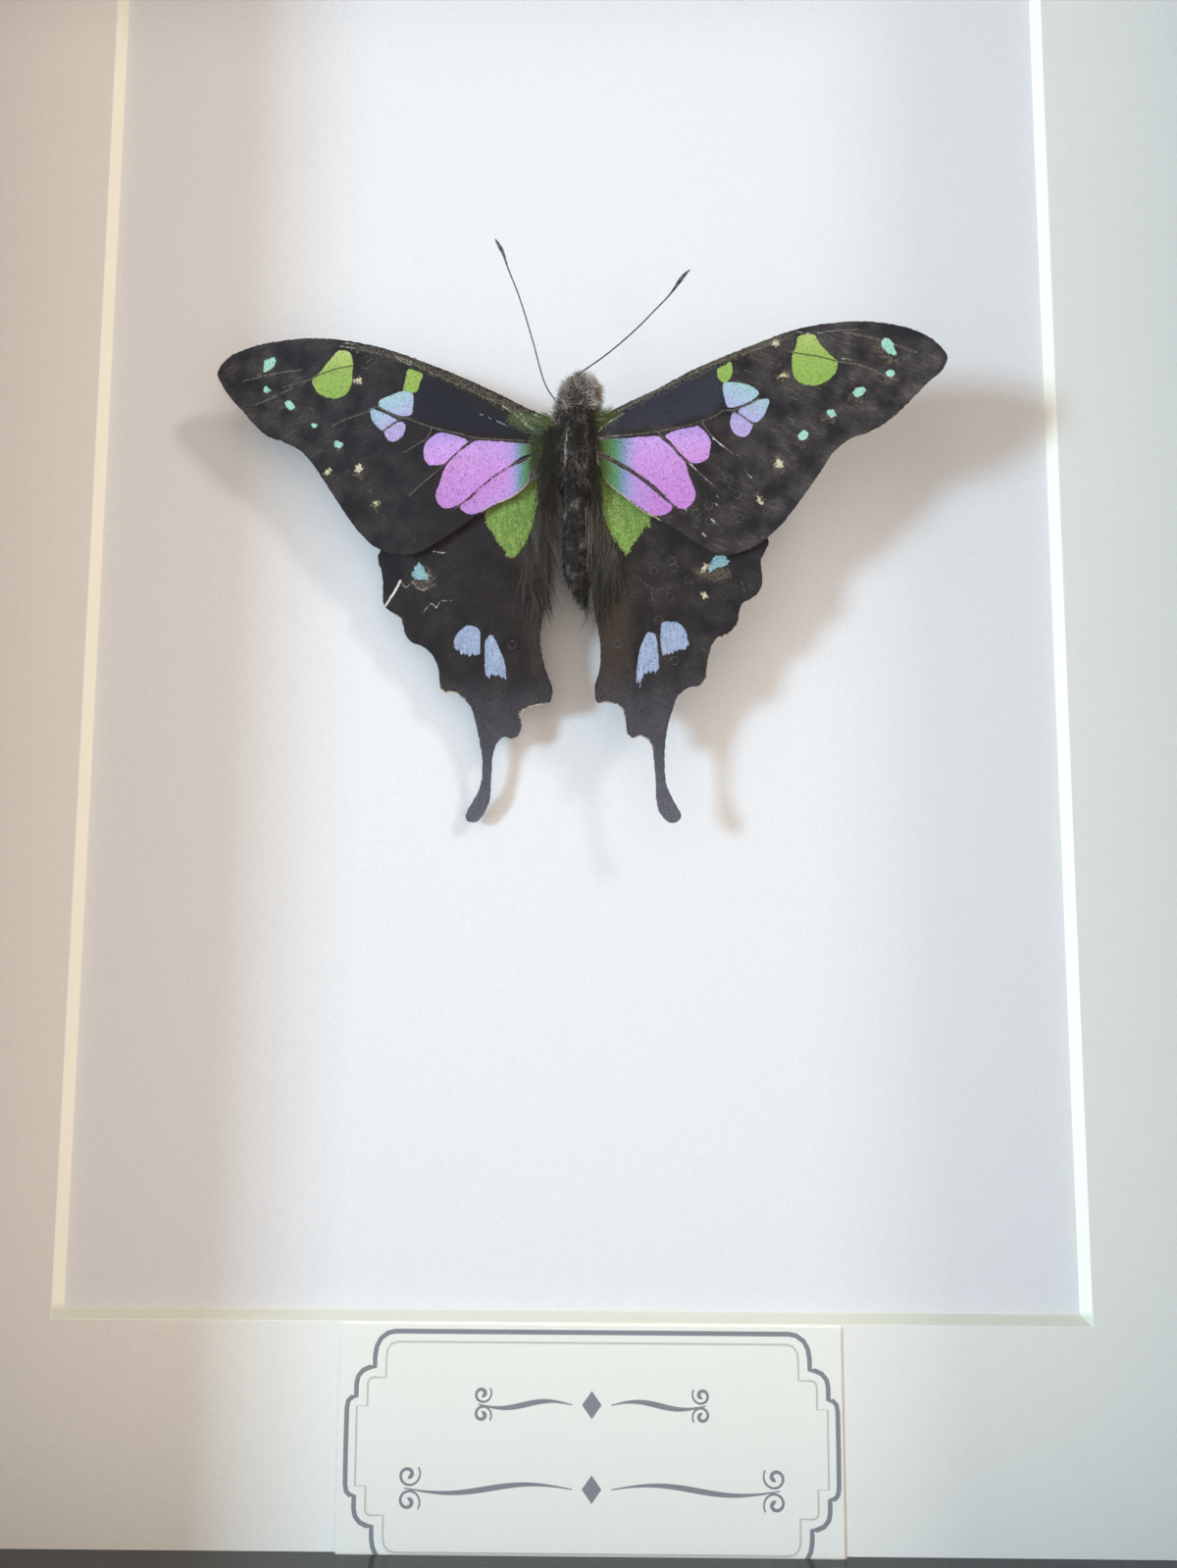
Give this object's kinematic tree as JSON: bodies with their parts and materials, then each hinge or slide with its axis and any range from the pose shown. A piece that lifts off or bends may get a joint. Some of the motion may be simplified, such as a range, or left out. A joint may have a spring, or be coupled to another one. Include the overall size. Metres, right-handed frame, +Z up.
{
  "type": "framed butterfly specimen",
  "caption": "Spread swallowtail butterfly over a white card, inside a bevel-cut mat with a paper label, in a deep glazed box frame that stands or hangs.",
  "frame": {"origin": "middle of the bottom edge that the frame stands on", "axes": "+X to the viewer's right, +Y from the glass into the frame and on to the wall, +Z up"},
  "size_m": [0.1754, 0.038, 0.2262],
  "materials": {
    "moulding": "black lacquered wood, semi-gloss",
    "inner_wall": "dark gloss",
    "glazing": "clear float glass",
    "mat_board": "uncoated pale board, cream core on the cut",
    "label_paper": "uncoated paper with a printed grey border",
    "white_card": "uncoated white card",
    "hardboard": "raw hardboard",
    "steel": "zinc plated",
    "cork": "cut cork",
    "body_hair": "dark brown hair over chitin",
    "horn": "dark chitin",
    "wing_scales": "matt black scales with purple, blue and green patches"
  },
  "bodies": {
    "root": {"rail_top": "moulding", "rail_bottom": "moulding", "rail_left": "moulding", "rail_right": "moulding", "glass": "glazing", "spacer_top": "inner_wall", "spacer_bottom": "inner_wall", "spacer_left": "inner_wall", "spacer_right": "inner_wall", "mat": "mat_board", "label": "label_paper", "backing_card": "white_card", "backboard": "hardboard", "board_tab_1": "steel", "board_tab_2": "steel", "board_tab_3": "steel", "board_tab_4": "steel", "board_tab_5": "steel", "board_tab_6": "steel", "board_tab_7": "steel", "board_tab_8": "steel", "hanger": "steel", "hanger_rivet_left": "steel", "hanger_rivet_right": "steel", "mount_block": "cork", "body": "body_hair", "antenna_left": "horn", "antenna_right": "horn", "forewing_left": "wing_scales", "forewing_right": "wing_scales", "hindwing_left": "wing_scales", "hindwing_right": "wing_scales"}
  },
  "joints": []
}
